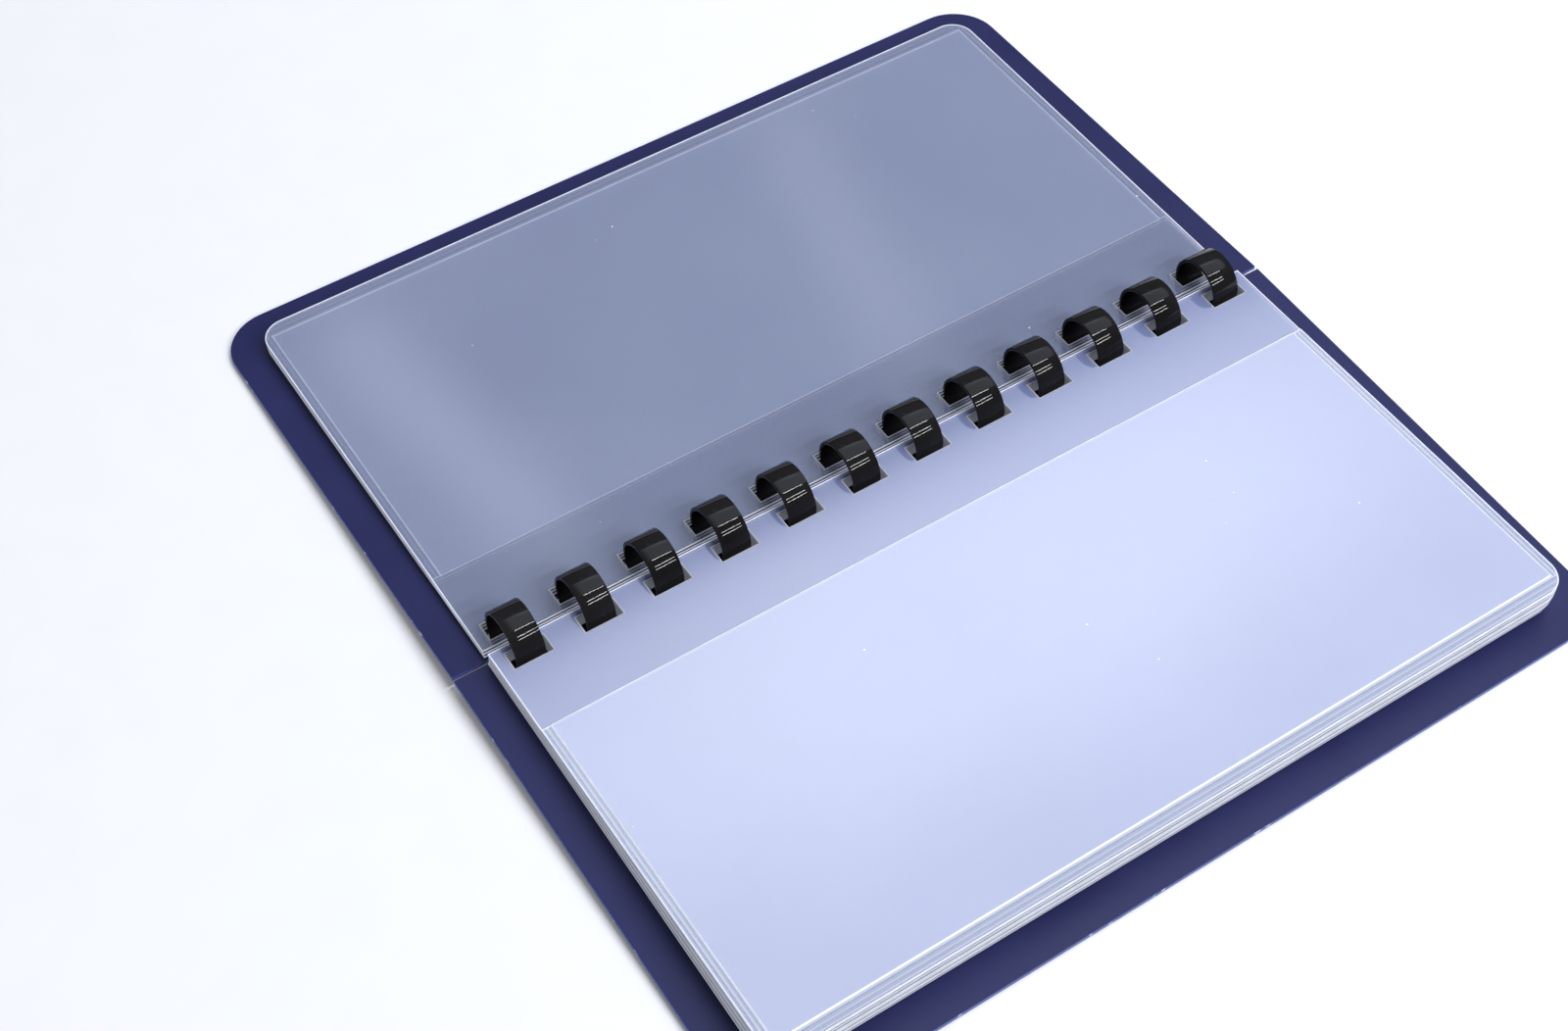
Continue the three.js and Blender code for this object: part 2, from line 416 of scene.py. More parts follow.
class Shader:
    """A node tree with short calls to add and join its nodes."""

    def __init__(self, tree):
        self.tree = tree

    def add(self, kind, inputs=None, **values):
        node = self.tree.nodes.new(kind)
        for name, value in values.items():
            setattr(node, name, value)
        for name, value in (inputs or {}).items():
            self.put(node.inputs[name], value)
        return node

    def put(self, socket, value):
        if isinstance(value, bpy.types.NodeSocket):
            self.tree.links.new(value, socket)
        else:
            socket.default_value = value

    def math(self, operation, first, second=0.0, clamp=False):
        inputs = {0: first, 1: second}
        node = self.add("ShaderNodeMath", inputs, operation=operation, use_clamp=clamp)
        return node.outputs[0]

    def vector(self, operation, output, *values):
        node = self.add("ShaderNodeVectorMath", dict(enumerate(values)), operation=operation)
        return node.outputs[output]

    def mix(self, factor, first, second):
        """A mix of two colours."""
        node = self.add("ShaderNodeMix", data_type="RGBA")
        for socket, value in zip(MIX_INPUTS, (factor, first, second)):
            self.put(node.inputs[socket], value)
        return node.outputs[MIX_OUTPUT]

    def range(self, value, low, high, to_low=0.0, to_high=1.0, shape="LINEAR"):
        node = self.add("ShaderNodeMapRange", {"Value": value}, interpolation_type=shape)
        ends = {"From Min": low, "From Max": high, "To Min": to_low, "To Max": to_high}
        for name, end in ends.items():
            self.put(node.inputs[name], end)
        return node.outputs["Result"]

    def smooth_range(self, *values):
        return self.range(*values, shape="SMOOTHSTEP")

    def noise(self, place, scale, detail):
        inputs = {"Vector": place, "Scale": scale, "Detail": detail}
        return self.add("ShaderNodeTexNoise", inputs).outputs["Fac"]

    def bump(self, height, strength=1.0, distance=1.0):
        inputs = {"Strength": strength, "Distance": distance, "Height": height}
        return self.add("ShaderNodeBump", inputs).outputs["Normal"]

    def group(self, build, inputs):
        """The outputs of a node group that the materials share, built on its first use."""
        tree = bpy.data.node_groups.get(build.__name__) or build()
        return self.add("ShaderNodeGroup", inputs, node_tree=tree).outputs


def opaque(rgb):
    return (*rgb, 1.0)


def scaled(rgb, factor):
    return [min(1.0, part * factor) for part in rgb]


def new_group(name, inputs, outputs):
    """A node group's shader helper, and its input and output nodes."""
    tree = bpy.data.node_groups.new(name, "ShaderNodeTree")
    tree.interface.new_socket(name="Place", in_out="INPUT", socket_type="NodeSocketVector")
    for socket, default in inputs.items():
        made = tree.interface.new_socket(name=socket, in_out="INPUT", socket_type="NodeSocketFloat")
        made.default_value = default
    for socket in outputs:
        tree.interface.new_socket(name=socket, in_out="OUTPUT", socket_type="NodeSocketFloat")
    shader = Shader(tree)
    return shader, shader.add("NodeGroupInput").outputs, shader.add("NodeGroupOutput").inputs


def fine_grain():
    """Fine surface grain: a height for the bump, and a mask of smears."""
    inputs = {"Grains per metre": 2500.0, "Smears per metre": 60.0}
    shader, start, end = new_group("fine_grain", inputs, ("Height", "Smear"))
    shader.put(end["Height"], shader.noise(start["Place"], start["Grains per metre"], 4.0))
    smear = shader.noise(start["Place"], start["Smears per metre"], 3.0)
    shader.put(end["Smear"], shader.range(smear, *SMEAR_RANGE))
    return shader.tree


def dust_specks():
    """Sparse specks of dust: a mask that is 1 on a speck."""
    inputs = {"Cells per metre": 300.0, "Share with dust": 0.1, "Size": 0.06}
    shader, start, end = new_group("dust_specks", inputs, ("Speck",))
    place = {"Vector": start["Place"], "Scale": start["Cells per metre"]}
    cells = shader.add("ShaderNodeTexVoronoi", place)
    lots = shader.add("ShaderNodeSeparateColor", {"Color": cells.outputs["Color"]}).outputs
    chosen = shader.math("LESS_THAN", lots["Red"], start["Share with dust"])
    radius = shader.math("MULTIPLY", start["Size"], lots["Green"])
    inside = shader.math("LESS_THAN", cells.outputs["Distance"], radius)
    shader.put(end["Speck"], shader.math("MULTIPLY", chosen, inside))
    return shader.tree


def soft_ripple():
    """Slow waves of a surface that isn't quite flat: a height in metres."""
    inputs = {"Waves per metre": 18.0, "Height of a wave": 0.2 * MM}
    shader, start, end = new_group("soft_ripple", inputs, ("Height",))
    wave = shader.noise(start["Place"], start["Waves per metre"], 1.0)
    shader.put(end["Height"], shader.math("MULTIPLY", wave, start["Height of a wave"]))
    return shader.tree


def new_material(name):
    """A material, its shader helper, its Principled shader's inputs and its Object coordinates."""
    material = bpy.data.materials.new(name)
    material.use_nodes = True
    material.node_tree.nodes.clear()
    shader = Shader(material.node_tree)
    surface = shader.add("ShaderNodeBsdfPrincipled")
    shader.add("ShaderNodeOutputMaterial", {"Surface": surface.outputs["BSDF"]})
    place = shader.add("ShaderNodeTexCoord").outputs["Object"]
    return material, shader, surface.inputs, place


def comb_plastic():
    """Glossy black moulded plastic with a slightly uneven skin."""
    material, shader, surface, place = new_material("black_comb_plastic")
    grain = shader.group(fine_grain, {"Place": place, "Smears per metre": 90.0})
    wave = {"Place": place, "Waves per metre": 260.0, "Height of a wave": 0.0025 * MM}
    ripple = shader.group(soft_ripple, wave)
    specks = {"Place": place, "Cells per metre": 500.0, "Share with dust": 0.06, "Size": 0.09}
    dust = shader.group(dust_specks, specks)
    tone = shader.mix(grain["Smear"], opaque(settings().comb.black), SMEARED_BLACK)
    shader.put(surface["Base Color"], shader.mix(dust["Speck"], tone, COMB_DUST))
    shader.put(surface["Roughness"], shader.range(grain["Smear"], 0, 1, 0.03, 0.05))
    shader.put(surface["Specular IOR Level"], 0.2)
    shader.put(surface["Normal"], shader.bump(ripple["Height"]))
    return material


def cover_plastic():
    """Satin navy sheet with a fine even grain and faint smears."""
    material, shader, surface, place = new_material("navy_cover_plastic")
    scales = {"Place": place, "Grains per metre": 3200.0, "Smears per metre": 45.0}
    grain = shader.group(fine_grain, scales)
    specks = {"Place": place, "Cells per metre": 240.0, "Share with dust": 0.08, "Size": 0.05}
    dust = shader.group(dust_specks, specks)
    tone = shader.mix(grain["Smear"], opaque(settings().cover.navy), SMEARED_NAVY)
    shader.put(surface["Base Color"], shader.mix(dust["Speck"], tone, COVER_DUST))
    shader.put(surface["Roughness"], shader.range(grain["Smear"], 0, 1, 0.42, 0.52))
    shader.put(surface["Specular IOR Level"], 0.35)
    shader.put(surface["Normal"], shader.bump(grain["Height"], 0.35, 0.04 * MM))
    return material


def cover_cut_edge():
    """The cut edge of the navy sheet, paler, with nicks that shine white."""
    material, shader, surface, place = new_material("navy_cut_edge")
    scales = {"Place": place, "Grains per metre": 1800.0, "Smears per metre": 420.0}
    grain = shader.group(fine_grain, scales)
    nick = shader.range(grain["Smear"], 0.75, 1.0)
    shader.put(surface["Base Color"], shader.mix(nick, opaque(settings().cover.cut_edge), NICK))
    shader.put(surface["Roughness"], shader.range(grain["Height"], 0.3, 0.7, 0.3, 0.5))
    shader.put(surface["Normal"], shader.bump(grain["Height"], 0.6, 0.06 * MM))
    return material


def clear_film(name, tint, shine, opacity, lines=False):
    """Clear glossy film: faintly tinted, slightly rippled, with a few specks of dust.

    Lines adds the fine ones that are pressed in a weld.
    """
    material, shader, surface, place = new_material(name)
    grain = shader.group(fine_grain, {"Place": place, "Smears per metre": 24.0})
    wave = {"Place": place, "Waves per metre": 11.0, "Height of a wave": 0.12 * MM}
    ripple = shader.group(soft_ripple, wave)
    specks = {"Place": place, "Cells per metre": 170.0, "Share with dust": 0.28, "Size": 0.05}
    speck = shader.group(dust_specks, specks)["Speck"]
    # the tint passed in holds painted light: one clear film gets a lighter or darker tint by where
    # it lies
    tone = shader.mix(grain["Smear"], opaque(tint), opaque(scaled(tint, SMEARED_FILM)))
    tone = shader.mix(speck, tone, FILM_DUST)
    if lines:
        tone = shader.mix(weld_lines(shader, place), tone, opaque(settings().leaf.weld_line))
    shader.put(surface["Base Color"], tone)
    shader.put(surface["Roughness"], shader.range(grain["Smear"], 0, 1, 0.07, 0.1))
    shader.put(surface["Alpha"], shader.range(speck, 0, 1, opacity, 0.9))
    shader.put(surface["Normal"], shader.bump(ripple["Height"]))
    shader.put(surface["IOR"], shine)  # a pile of films reflects more than one
    return material


def weld_lines(shader, place):
    """A mask of fine uneven lines that follow the edge of a pocket's weld."""
    leaf = settings().leaf
    low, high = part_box("leaf_01_base_film")
    out = shader.vector("ABSOLUTE", "Vector", place)
    parts = shader.add("ShaderNodeSeparateXYZ", {"Vector": out}).outputs
    across = shader.math("SUBTRACT", parts["X"], high.x - leaf.side_weld)
    away = shader.math("SUBTRACT", parts["Y"], max(-low.y, high.y) - leaf.outer_weld)
    inset = shader.add("ShaderNodeCombineXYZ", {"X": shader.math("MAXIMUM", across, away)})
    return shader.range(shader.noise(inset.outputs["Vector"], LINES_PER_METRE, 1.0), *LINE_RANGE)


def film_cut_edge(name, brightness):
    """The cut edge of a film, painted almost white as a painted highlight, with a painted glow for
    the light it would gather; brightness scales both.
    """
    material, shader, surface, place = new_material(name)
    scales = {"Place": place, "Grains per metre": 2600.0, "Smears per metre": 300.0}
    grain = shader.group(fine_grain, scales)
    edge = scaled(settings().leaf.edge_tint, brightness)
    darker = opaque(scaled(edge, SMEARED_EDGE))
    shader.put(surface["Base Color"], shader.mix(grain["Smear"], darker, opaque(edge)))
    shader.put(surface["Roughness"], shader.range(grain["Height"], 0.3, 0.7, 0.15, 0.35))
    shader.put(surface["Alpha"], 0.85)
    # painted glow: the edge emits light in its own colour
    shader.put(surface["Emission Color"], opaque(edge))
    shader.put(surface["Emission Strength"], settings().leaf.edge_glow)
    return material


# The comb


def curl_radius(turn):
    """Middle radius of the curl at an angle counted from straight down."""
    comb = settings().comb
    past = max(0.0, turn - comb.spine_arc / 2)
    return comb.spine_radius - comb.curl_drop * past / (2 * math.pi - comb.spine_arc)


def curl_path():
    """Angles and points of the curl's middle line, from the strip's near edge to a finger's tip."""
    comb = settings().comb
    first = -comb.spine_arc / 2
    last = 2 * math.pi + first + comb.tuck_arc
    turns = [first + (last - first) * i / CURL_STEPS for i in range(CURL_STEPS + 1)]
    points = [Vector((math.sin(turn), -math.cos(turn), 0)) * curl_radius(turn) for turn in turns]
    return turns, points


def flat_length(turn):
    """Distance along the flat comb, from the strip's near edge, to an angle of the curl."""
    turns, points = curl_path()
    gone = 0.0
    for i in range(len(turns) - 1):
        step = (points[i + 1] - points[i]).length
        if turn <= turns[i + 1]:
            return gone + step * (turn - turns[i]) / (turns[i + 1] - turns[i])
        gone += step
    return gone


def finger_width(turn):
    """Width of a finger at an angle of the curl: flared at its root, and round at its tip."""
    comb = settings().comb
    root = comb.spine_arc / 2
    tip = 2 * math.pi - root + comb.tuck_arc
    flare = max(0.0, 1 - max(0.0, turn - root) / comb.flare_arc)
    rounding = max(0.0, 1 - (tip - turn) / comb.tip_arc) * TIP_ROUNDING
    straight = comb.finger_width + (comb.root_width - comb.finger_width) * flare**2
    return straight * math.sqrt(1 - rounding**2)


def flat_finger():
    """One finger, flat: it leaves the strip along X, and is extruded and scaled step by step."""
    comb = settings().comb
    root = comb.spine_arc / 2 - comb.sunk_arc
    tip = 2 * math.pi - comb.spine_arc / 2 + comb.tuck_arc
    round_start = tip - comb.tip_arc
    turns = [root + (round_start - root) * i / FINGER_STEPS for i in range(FINGER_STEPS + 1)]
    turns += [round_start + comb.tip_arc * i / TIP_STEPS for i in range(1, TIP_STEPS + 1)]
    places = [flat_length(turn) for turn in turns]
    half = comb.root_width / 2
    finger = new_panel("finger", (places[0], -half, 0), (places[1], half, 0))
    for i in range(1, len(turns)):
        end = places[i]
        select(
            finger,
            "edges",
            lambda edge: all(abs(vert.co.x - end) < SAME_PLACE for vert in edge.verts),
        )
        half = max(abs(vert.co.y) for vert in selected_verts(finger))
        ratio = finger_width(turns[i]) / (2 * half)
        bpy.ops.transform.resize(value=(1, ratio, 1), center_override=(end, 0, 0))
        if i + 1 < len(turns):
            move = {"value": (places[i + 1] - end, 0, 0)}
            bpy.ops.mesh.extrude_region_move(TRANSFORM_OT_translate=move)
    cut([0], 1)
    end_edit()
    modify(finger, "SOLIDIFY", thickness=comb.finger_wall, offset=0)
    round_edges(finger, comb.edge_round)
    return finger


def flat_strip():
    """The spine strip, flat, with rounded edges and enough cuts across to curl smoothly."""
    comb = settings().comb
    end = flat_length(comb.spine_arc / 2)
    half = finger_places()[-1] + comb.root_width / 2 + comb.spine_overhang
    wall = comb.spine_wall / 2
    strip = new_block("comb", (0, -half, -wall), (end, half, wall))
    bpy.ops.mesh.select_all(action="SELECT")
    bpy.ops.mesh.bevel(offset=comb.edge_round, segments=EDGE_STEPS, affect="EDGES")
    cut([end * i / STRIP_STEPS for i in range(1, STRIP_STEPS)], 0)
    end_edit()
    return strip


def curl(comb_piece):
    """Curls the flat comb along its spiral and lays it on the album's axis."""
    points = curl_path()[1]
    path = bpy.data.curves.new("curl", "CURVE")
    path.dimensions = "2D"
    path.use_path = True
    spline = path.splines.new("POLY")
    spline.points.add(len(points) - 1)
    for place, point in zip(spline.points, points):
        place.co = (*point, 1)
    guide = bpy.data.objects.new("curl", path)
    bpy.context.collection.objects.link(guide)
    comb_piece.data.transform(Matrix.Rotation(math.pi / 2, 4, "X"))
    modify(comb_piece, "CURVE", object=guide, deform_axis="POS_X")
    discard(guide)
    upright = Matrix(((0, 0, 1, 0), (1, 0, 0, 0), (0, 1, 0, AXIS_HEIGHT), (0, 0, 0, 1)))
    comb_piece.data.transform(upright)


class ALBUM_OT_comb(bpy.types.Operator):
    """Models the comb flat, as one strip with twelve fingers, and curls it"""

    bl_idname = "album.comb"
    bl_label = "Comb Binding"

    def execute(self, context):
        strip = flat_strip()
        finger = flat_finger()
        fingers = [copy_of(finger, f"finger_{i}") for i in range(FINGER_COUNT)]
        for twin, x in zip(fingers, finger_places()):
            twin.data.transform(Matrix.Translation((0, x, 0)))
        pick(fingers[0])
        for twin in fingers:
            twin.select_set(True)
        bpy.ops.object.join()
        row = bpy.context.object
        modify(strip, "BOOLEAN", object=row, operation="UNION", solver="EXACT")
        discard(row, finger)
        curl(strip)
        tidy(strip)
        smooth(strip, SMOOTH_COMB)
        strip.data.materials.clear()
        strip.data.materials.append(comb_plastic())
        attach(strip, "comb")
        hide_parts("comb_binding")
        return {"FINISHED"}


# Sheets


def sheet_place(node):
    """Where a flat sheet goes to lie on its CAD node.

    The flat sheet has its spine edge on y = 0, reaches towards -Y and has its middle plane on
    z = 0. Returns the matrix that lays it there, and the node's width and depth.
    """
    points = [vert.co for vert in frame["nodes"][node].data.vertices]
    reach = [abs(point.y) for point in points]
    spine = [point for point, y in zip(points, reach) if y < min(reach) + SPINE_BAND]
    outer = [point for point, y in zip(points, reach) if y > max(reach) - OUTER_BAND]
    start = sum(spine, Vector()) / len(spine)
    end = sum(outer, Vector()) / len(outer)
    away = Vector((0, end.y - start.y, end.z - start.z))
    turn = math.atan2(-away.z, -away.y)
    place = Matrix.Translation((0, start.y, start.z)) @ Matrix.Rotation(turn, 4, "X")
    width = 2 * max(point.x for point in points)
    return place, width, away.length


def slot_punch():
    """One punch with twelve teeth, from one tooth and an array."""
    leaf = settings().leaf
    first = finger_places()[0]
    half = leaf.slot_width / 2
    far = -leaf.slot_margin - leaf.slot_depth
    low = (first - half, far, -PUNCH_REACH)
    high = (first + half, -leaf.slot_margin, PUNCH_REACH)
    punch = new_block("punch", low, high)
    end_edit()
    modify(
        punch,
        "ARRAY",
        count=FINGER_COUNT,
        use_relative_offset=False,
        use_constant_offset=True,
        constant_offset_displace=(settings().comb.pitch, 0, 0),
    )
    return punch


def flat_sheet(name, width, depth, thickness, corner, rim, punch):
    """A flat sheet with two round corners, the row of slots, and a slightly rounded cut edge."""
    half = thickness / 2
    sheet = new_block(name, (-width / 2, -depth, -half), (width / 2, 0, half))
    select(
        sheet,
        "edges",
        lambda edge: all(vert.co.y < -depth / 2 for vert in edge.verts)
        and abs(edge.verts[0].co.x - edge.verts[1].co.x) < SAME_PLACE,
    )
    bpy.ops.mesh.bevel(offset=corner, segments=CORNER_STEPS, affect="EDGES")
    end_edit()
    modify(sheet, "BOOLEAN", object=punch, operation="DIFFERENCE", solver="EXACT")
    tidy(sheet)
    round_edges(sheet, rim)
    return sheet


def lay(flat, node, name, materials):
    """Lays a copy of a flat sheet on its CAD node. A pocket film goes by its leaf's base film."""
    piece = copy_of(flat, name)
    for material in materials:
        piece.data.materials.append(material)
    place = sheet_place(node.replace("pocket_film", "base_film"))[0]
    piece.data.transform(place)
    smooth(piece, SMOOTH_SHEET)
    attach(piece, frame["nodes"][node]["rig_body"])
    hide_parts(node)
    return piece


class ALBUM_OT_covers(bpy.types.Operator):
    """Cuts one navy cover with its slots and lays it down twice"""

    bl_idname = "album.covers"
    bl_label = "Covers"

    def execute(self, context):
        cover = settings().cover
        width, depth = sheet_place("back_cover")[1:]
        punch = slot_punch()
        cut_size = (width, depth, cover.thickness, cover.corner, cover.edge_round)
        flat = flat_sheet("cover", *cut_size, punch)
        mark_edge(flat, 0)
        face, edge = cover_plastic(), cover_cut_edge()
        for node in ("back_cover", "front_cover"):
            lay(flat, node, f"{node}_sheet", (face, edge, edge))
        discard(flat, punch)
        return {"FINISHED"}


def pocket_panel(width, depth):
    """The pocket film, flat: a welded rim on three sides, and a raised panel open at its mouth."""
    leaf = settings().leaf
    side = width / 2
    film = new_panel("pocket", (-side, -depth, 0), (side, -leaf.mouth, 0))
    select(film, "verts", lambda vert: vert.co.y < -depth + SAME_PLACE)
    bpy.ops.mesh.bevel(offset=leaf.corner, segments=CORNER_STEPS, affect="VERTICES")
    inner_side = side - leaf.side_weld
    inner_end = depth - leaf.outer_weld
    across = [inner_side, inner_side - leaf.step]
    columns = [inner_side * i / PANEL_COLUMNS for i in range(1 - PANEL_COLUMNS, PANEL_COLUMNS)]
    rows = [leaf.mouth + (inner_end - leaf.mouth) * i / PANEL_ROWS for i in range(1, PANEL_ROWS)]
    cut([-x for x in across] + across + columns, 0)
    cut([-inner_end, leaf.step - inner_end], 1)
    cut([-y for y in rows], 1)
    mesh = bmesh.from_edit_mesh(film.data)
    for vert in mesh.verts:
        raised_x = inner_side - abs(vert.co.x)
        raised_y = inner_end + vert.co.y
        share_up = min(1.0, max(0.0, min(raised_x, raised_y) / leaf.step))
        along = vert.co.x / inner_side
        away = (vert.co.y + leaf.mouth) / (leaf.mouth - inner_end)
        bow = max(0.0, 1 - along**2) * max(0.0, 1 - away**2)
        vert.co.z = leaf.rise * share_up + leaf.crown * bow
    bmesh.update_edit_mesh(film.data)
    end_edit()
    modify(film, "SOLIDIFY", thickness=leaf.film, offset=1)
    film.data.transform(Matrix.Translation((0, 0, leaf.film / 2 + leaf.weld_gap)))
    tidy(film)
    round_edges(film, leaf.rim, segments=1, sharp=SHARP_POCKET_EDGE)
    return film


def mark_edge(obj, border, flat=FLAT):
    """Splits a band off the flat faces of a sheet along its cut edge, for a painted highlight, and
    marks it and the cut edge.

    Flat is the least share of a flat face's normal that points up or down.
    """
    pick(obj)
    bpy.ops.object.mode_set(mode="EDIT")
    select(obj, "faces", lambda face: abs(face.normal.z) > flat)
    if border:
        bpy.ops.mesh.inset(thickness=border, depth=0, use_even_offset=True)
    mesh = bmesh.from_edit_mesh(obj.data)
    for face in mesh.faces:
        if not face.select:
            face.material_index = HIGHLIGHT_BAND if abs(face.normal.z) > flat else CUT_EDGE
    bmesh.update_edit_mesh(obj.data)
    end_edit()


def mark_slots(sheet):
    """Marks the walls and borders of a base film's slots, which get a dimmer edge colour as painted
    shade.
    """
    leaf = settings().leaf
    reach = 2 * leaf.border
    near, far = leaf.slot_margin - reach, leaf.slot_margin + leaf.slot_depth + reach
    side = finger_places()[-1] + leaf.slot_width / 2 + reach
    for face in sheet.data.polygons:
        in_row = near < -face.center.y < far and abs(face.center.x) < side
        if in_row and face.material_index != FACE:
            face.material_index = SLOT_EDGE


def mark_weld(film, width, depth):
    """Marks a pocket film's welded rim, and gives the step beside it the same painted highlight as
    the band along the cut edge.
    """
    leaf = settings().leaf
    for face in film.data.polygons:
        beside = abs(face.center.x) > width / 2 - leaf.side_weld
        beyond = face.center.y < leaf.outer_weld - depth
        if face.material_index != FACE:
            continue
        if beside or beyond:
            face.material_index = WELDED
        elif abs(face.normal.z) < FLAT:
            face.material_index = HIGHLIGHT_BAND


def leaf_films():
    """The materials of a leaf's base and pocket film, by whether the leaf lies turned, in tints
    that hold painted light: lighter or darker copies of one clear film by the pile and part of the
    leaf it lies in.
    """
    leaf = settings().leaf
    base, pocket = leaf.base_shine, leaf.pocket_shine
    return {
        False: (
            clear_film("base_film", leaf.base_tint, base, leaf.opacity),
            clear_film("pocket_film", leaf.pocket_tint, pocket, leaf.opacity),
        ),
        True: (
            clear_film("turned_base_film", leaf.turned_base_tint, base, leaf.turned_opacity),
            clear_film("turned_pocket_film", leaf.turned_pocket_tint, pocket, leaf.opacity),
        ),
    }


class ALBUM_OT_leaves(bpy.types.Operator):
    """Models one pocket leaf from its two films and threads ten copies on the comb"""

    bl_idname = "album.leaves"
    bl_label = "Pocket Leaves"

    def execute(self, context):
        leaf = settings().leaf
        width, depth = sheet_place("leaf_01_base_film")[1:]
        punch = slot_punch()
        base = flat_sheet("base", width, depth, leaf.film, leaf.corner, leaf.rim, punch)
        pocket = pocket_panel(width, depth)
        mark_edge(base, leaf.border)
        mark_slots(base)
        mark_edge(pocket, leaf.border, NEARLY_FLAT)
        mark_weld(pocket, width, depth)
        films = leaf_films()
        weld = clear_film("welded_film", leaf.weld_tint, leaf.base_shine, leaf.opacity, lines=True)
        # painted highlight for the band along each cut edge and the step beside the weld
        border = film_cut_edge("film_border", 1.0)
        # painted shade on the slot walls and borders
        shaded_slot_edge = film_cut_edge("film_slot_edge", SLOT_SHADE_BRIGHTNESS)
        # every other leaf gets the dimmer edge, as painted shade between the leaves
        edges = (film_cut_edge("film_cut_edge", 1.0), film_cut_edge("film_cut_edge_dim", EDGE_SHADE_BRIGHTNESS))
        for i in range(1, LEAF_COUNT + 1):
            name = f"leaf_{i:02d}"
            base_film, pocket_film = films[i <= TURNED_LEAVES]
            shared = (border, edges[i % 2])
            base_look = (base_film, *shared, shaded_slot_edge)
            pocket_look = (pocket_film, *shared, weld)
            lay(base, f"{name}_base_film", f"{name}_base", base_look)
            lay(pocket, f"{name}_pocket_film", f"{name}_pocket", pocket_look)
        discard(base, pocket, punch)
        return {"FINISHED"}


# The stage


def tube_lamp(name, rise):
    """A long thin lamp along the comb, which draws a line of light on each finger.

    Rise is its angle above the table, in degrees.
    """
    data = bpy.data.lights.new(name, "AREA")
    data.shape = "RECTANGLE"
    data.size, data.size_y = TUBE_SIZE
    data.energy = TUBE_POWER
    lamp = bpy.data.objects.new(name, data)
    away = Vector((0, -math.cos(math.radians(rise)), math.sin(math.radians(rise))))
    lamp.location = Vector(TUBE_AIM) + away * TUBE_DISTANCE
    lamp.rotation_euler = away.to_track_quat("Z", "Y").to_euler()
    bpy.context.collection.objects.link(lamp)


def studio_world():
    """Plain studio light, weaker from the camera's side and low down, and white to the camera."""
    world = bpy.data.worlds.new("studio")
    world.use_nodes = True
    shader = Shader(world.node_tree)
    background = world.node_tree.nodes["Background"].inputs
    towards = shader.add("ShaderNodeTexCoord").outputs["Generated"]
    lit = shader.vector("DOT_PRODUCT", "Value", towards, WORLD_LIT_SIDE)
    light = shader.range(lit, *WORLD_REACH, *WORLD_LIGHT)
    seen = shader.add("ShaderNodeLightPath").outputs["Is Camera Ray"]
    shader.put(background["Color"], WORLD_COLOUR)
    shader.put(background["Strength"], shader.math("MAXIMUM", light, seen))
    return world


def soft_panel(name, middle, size, turn, fade, strength, extra):
    """A lamp panel facing down, whose light fades towards its edges and lets other light through.

    Size and fade are given along x and y, and turn in degrees. Strength is the panel's light,
    and extra is what a hot spot near its far side adds.
    """
    bpy.ops.mesh.primitive_plane_add(size=1, location=middle, rotation=(0, 0, math.radians(turn)))
    panel = bpy.context.object
    panel.name = name
    panel.scale = (*size, 1)
    bpy.ops.object.transform_apply(location=False, rotation=False)
    material = bpy.data.materials.new(name)
    material.use_nodes = True
    material.node_tree.nodes.clear()
    shader = Shader(material.node_tree)
    place = shader.add("ShaderNodeTexCoord").outputs["Object"]
    parts = shader.add("ShaderNodeSeparateXYZ", {"Vector": place})
    light = strength
    if extra:
        spot = shader.add("ShaderNodeMapping", {"Vector": place, **HOT_SPOT}).outputs["Vector"]
        reach = shader.vector("LENGTH", "Value", spot)
        light = shader.smooth_range(reach, *HOT_SPOT_REACH, strength, strength + extra)
    for axis in range(2):
        out = shader.math("ABSOLUTE", parts.outputs[axis])
        half = size[axis] / 2
        faded = shader.smooth_range(out, half, half - fade[axis], 0, 1)
        light = shader.math("MULTIPLY", faded, light)
    glow = shader.add("ShaderNodeEmission", {"Color": PANEL_COLOUR, "Strength": light})
    clear = shader.add("ShaderNodeBsdfTransparent")
    both = {0: glow.outputs["Emission"], 1: clear.outputs["BSDF"]}
    added = shader.add("ShaderNodeAddShader", both)
    shader.add("ShaderNodeOutputMaterial", {"Surface": added.outputs["Shader"]})
    panel.data.materials.append(material)


def floor_material():
    """Pale floor with the album's shadow on it, which turns quite white far off."""
    material, shader, surface, place = new_material("pale_floor")
    fleck = shader.range(shader.noise(place, 90.0, 5.0), *FLECK_RANGE)
    shader.put(surface["Base Color"], shader.mix(fleck, opaque(settings().stage.floor), FLECK))
    shader.put(surface["Roughness"], 0.9)
    shader.put(surface["Specular IOR Level"], 0.2)
    shader.put(surface["Emission Color"], FLOOR_GLOW)
    path = shader.add("ShaderNodeLightPath").outputs
    seen = shader.math("ADD", path["Is Camera Ray"], path["Is Glossy Ray"], clamp=True)
    seen = shader.math("ADD", seen, path["Is Transmission Ray"], clamp=True)
    near = shader.math("MULTIPLY", seen, NEAR_GLOW)
    reach = shader.vector("LENGTH", "Value", place)
    far = shader.smooth_range(reach, *FAR_REACH, NEAR_GLOW, FAR_GLOW)
    far = shader.math("MULTIPLY", path["Is Camera Ray"], far)
    shader.put(surface["Emission Strength"], shader.math("MAXIMUM", near, far))
    return material


def new_floor():
    bpy.ops.mesh.primitive_plane_add(size=FLOOR_SIZE, location=(0, 0, -FLOOR_DROP))
    floor = bpy.context.object
    floor.name = "floor"
    floor.data.materials.append(floor_material())


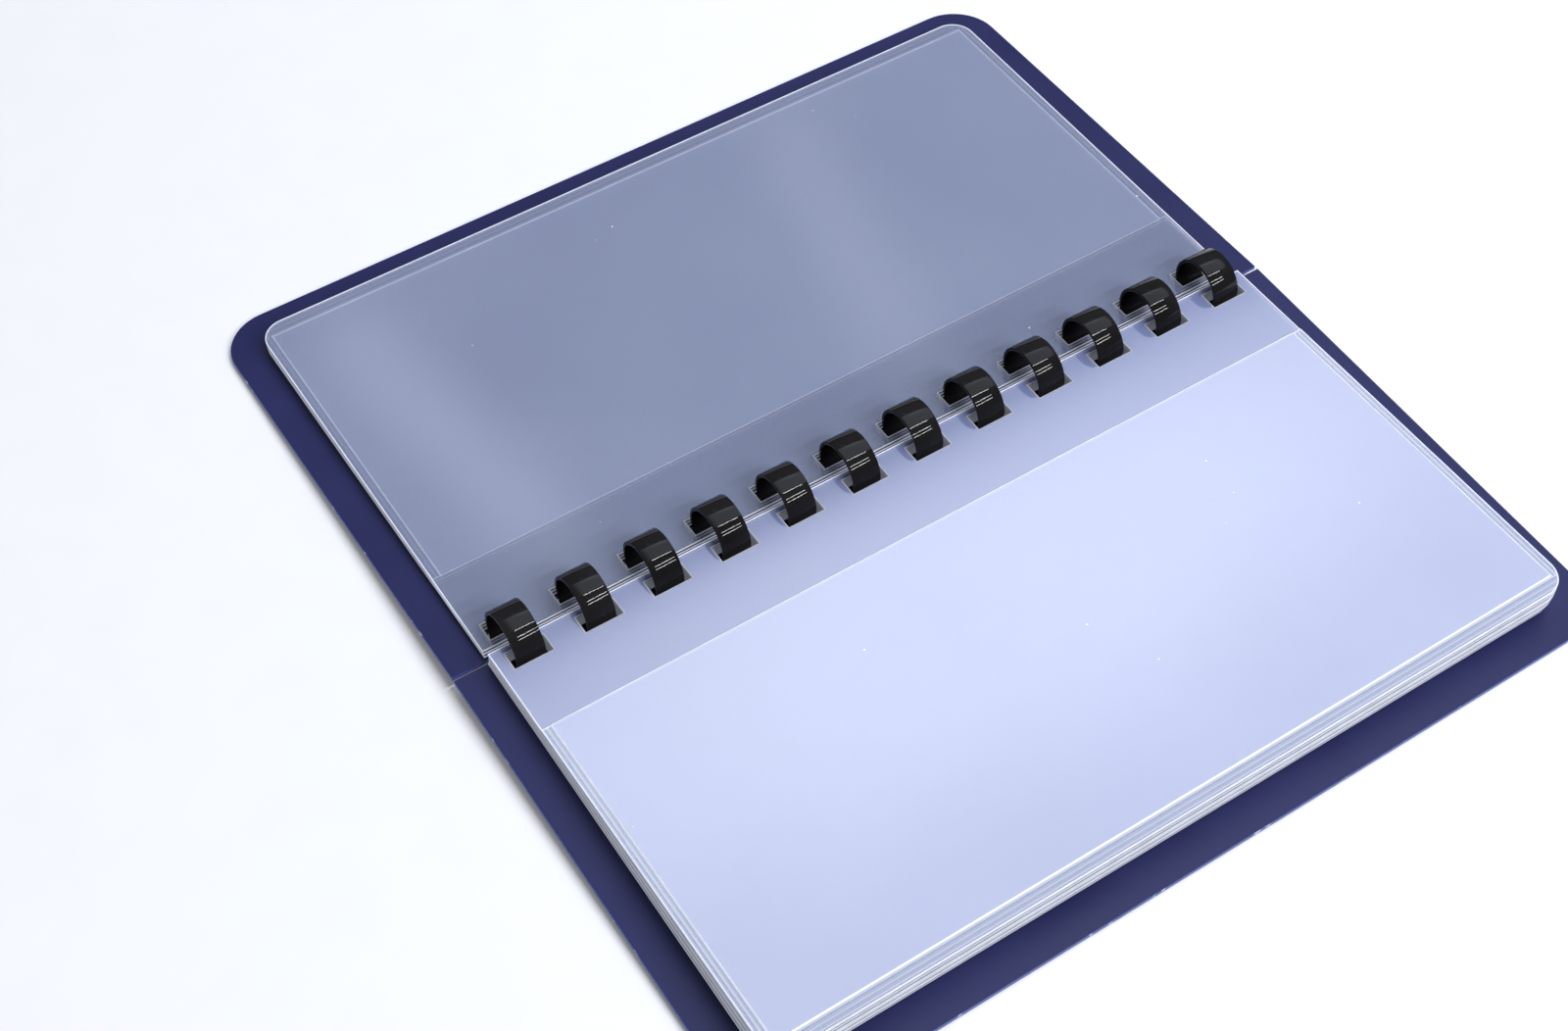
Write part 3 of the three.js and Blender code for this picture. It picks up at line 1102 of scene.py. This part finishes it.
def new_camera():
    stage = settings().stage
    data = bpy.data.cameras.new("camera")
    data.sensor_width = SENSOR_WIDTH
    data.lens = stage.lens
    data.clip_start = 10 * MM
    camera = bpy.data.objects.new("camera", data)
    turn, rise = stage.azimuth, stage.elevation
    flat = math.cos(rise)
    back = Vector((math.sin(turn) * flat, -math.cos(turn) * flat, math.sin(rise)))
    camera.location = Vector(CAMERA_AIM) + back * stage.distance
    camera.rotation_euler = back.to_track_quat("Z", "Y").to_euler()
    bpy.context.collection.objects.link(camera)
    return camera


class ALBUM_OT_stage(bpy.types.Operator):
    """Adds the floor, the soft lamps and the camera at the photograph's angle"""

    bl_idname = "album.stage"
    bl_label = "Stage"

    def execute(self, context):
        scene = context.scene
        scene.view_settings.view_transform = "Standard"
        new_floor()
        scene.world = studio_world()
        for panel in PANELS:
            soft_panel(**panel)
        for i, rise in enumerate(TUBE_RISES):
            tube_lamp(f"tube_{i}", rise)
        scene.camera = new_camera()
        return {"FINISHED"}


class ALBUM_PT_build(bpy.types.Panel):
    bl_idname = "ALBUM_PT_build"
    bl_label = "Banknote Album"
    bl_space_type = "VIEW_3D"
    bl_region_type = "UI"
    bl_category = "Album"

    def draw(self, context):
        for operator in OPERATORS:
            self.layout.operator(operator.bl_idname)


OPERATORS = (ALBUM_OT_comb, ALBUM_OT_covers, ALBUM_OT_leaves, ALBUM_OT_stage)
PIECE_GROUPS = (AlbumCombSettings, AlbumCoverSettings, AlbumLeafSettings, AlbumStageSettings)
CLASSES = PIECE_GROUPS + (AlbumSettings,) + OPERATORS + (ALBUM_PT_build,)


def register():
    for cls in CLASSES:
        bpy.utils.register_class(cls)
    bpy.types.Scene.album = bpy.props.PointerProperty(type=AlbumSettings)


def unregister():
    del bpy.types.Scene.album
    for cls in reversed(CLASSES):
        bpy.utils.unregister_class(cls)


def main():
    register()
    bpy.ops.album.comb()
    bpy.ops.album.covers()
    bpy.ops.album.leaves()
    bpy.ops.album.stage()


if __name__ == "__main__":
    main()
